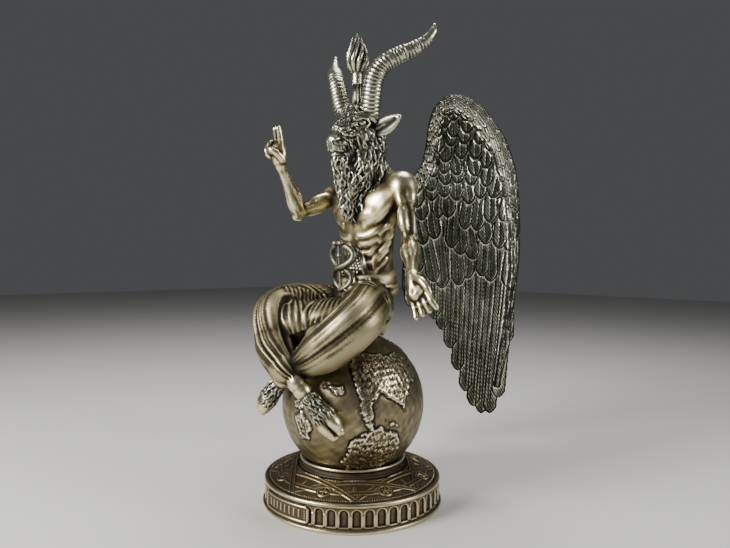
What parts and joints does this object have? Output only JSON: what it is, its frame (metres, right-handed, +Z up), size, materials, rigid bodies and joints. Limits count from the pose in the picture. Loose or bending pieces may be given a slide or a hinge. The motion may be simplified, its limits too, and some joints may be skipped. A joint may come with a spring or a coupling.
{
  "type": "horned winged statuette on a globe",
  "caption": "Seated goat-headed winged figure with crossed legs on a globe, over a round plinth with an arcade and a plaque.",
  "frame": {"origin": "centre of the plinth's underside, on the surface that the statuette stands on", "axes": "+Z up, -Y the way the figure faces, +X to the figure's left"},
  "size_m": [0.1851, 0.1793, 0.3693],
  "materials": {
    "bronze_base": "cold-cast bronze, brown antique patina with worn golden edges",
    "bronze_figure": "cold-cast bronze, antique patina, skin rubbed golden, dark in the recesses",
    "bronze_dark": "cold-cast bronze, gunmetal patina with pale rubbed edges"
  },
  "bodies": {
    "root": {"plinth": "bronze_base", "globe": "bronze_base", "figure": "bronze_figure", "wing_left": "bronze_dark", "wing_right": "bronze_dark", "caduceus": "bronze_dark"}
  },
  "joints": []
}
